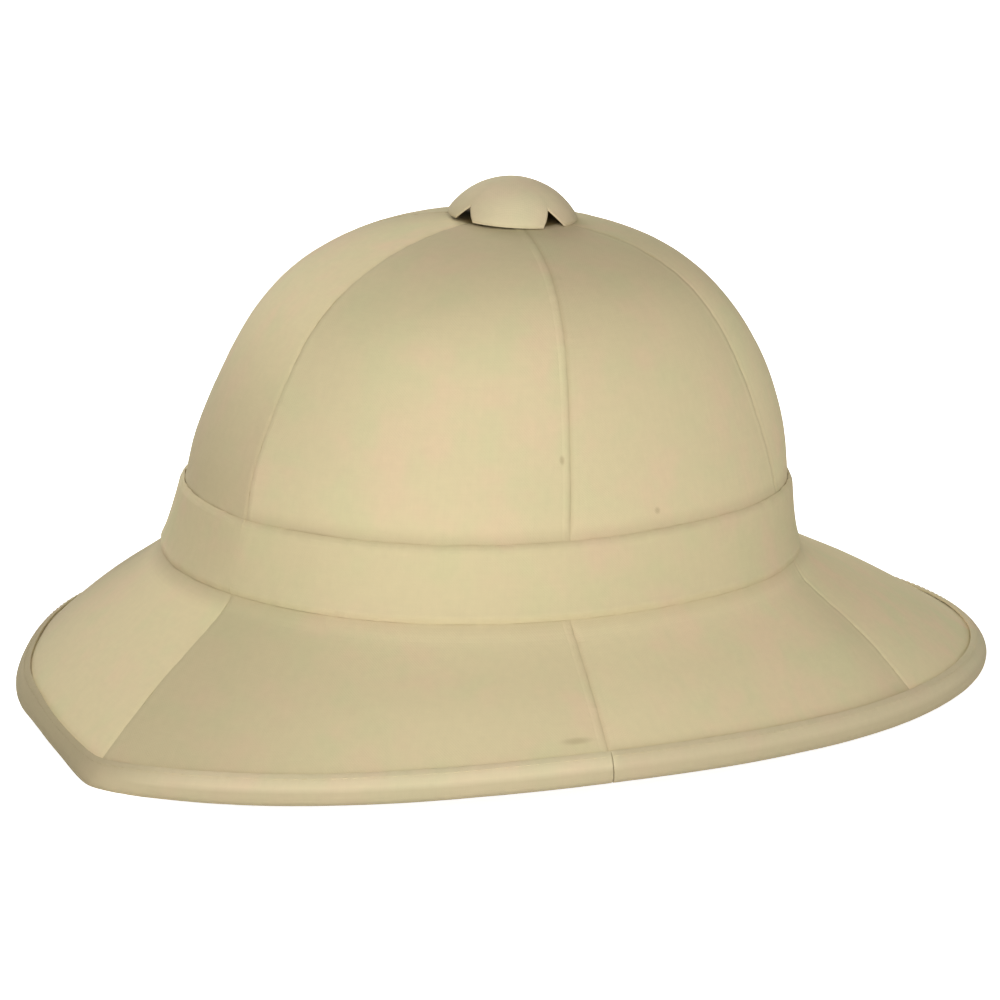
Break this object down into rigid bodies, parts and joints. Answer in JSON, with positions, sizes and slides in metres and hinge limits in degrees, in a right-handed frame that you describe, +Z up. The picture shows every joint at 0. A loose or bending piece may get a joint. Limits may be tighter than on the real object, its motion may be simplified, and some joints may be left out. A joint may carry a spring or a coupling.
{
  "type": "pith helmet",
  "caption": "Rigid domed sun helmet with a sloping all-round brim, cloth-covered in gores, with a flat band, a bound edge and a notched ventilator cap.",
  "frame": {"origin": "on the floor, under the middle of the hat's length and width as it rests", "axes": "+Z up, the front seam faces -Y, the wearer's left is +X"},
  "size_m": [0.2742, 0.361, 0.1709],
  "materials": {
    "pith": "raw pale pith, matt",
    "cover_cloth": "fine plain-weave khaki cotton, matt",
    "band_cloth": "folded khaki cotton band, matt",
    "binding_tape": "folded khaki cotton tape, matt",
    "cap_cloth": "khaki cotton over a stiff dome, matt"
  },
  "bodies": {
    "root": {"shell": "pith", "cover_front_left": "cover_cloth", "cover_side_left": "cover_cloth", "cover_back_left": "cover_cloth", "cover_back_right": "cover_cloth", "cover_side_right": "cover_cloth", "cover_front_right": "cover_cloth", "band": "band_cloth", "brim_binding": "binding_tape", "ventilator_cap": "cap_cloth"}
  },
  "joints": []
}
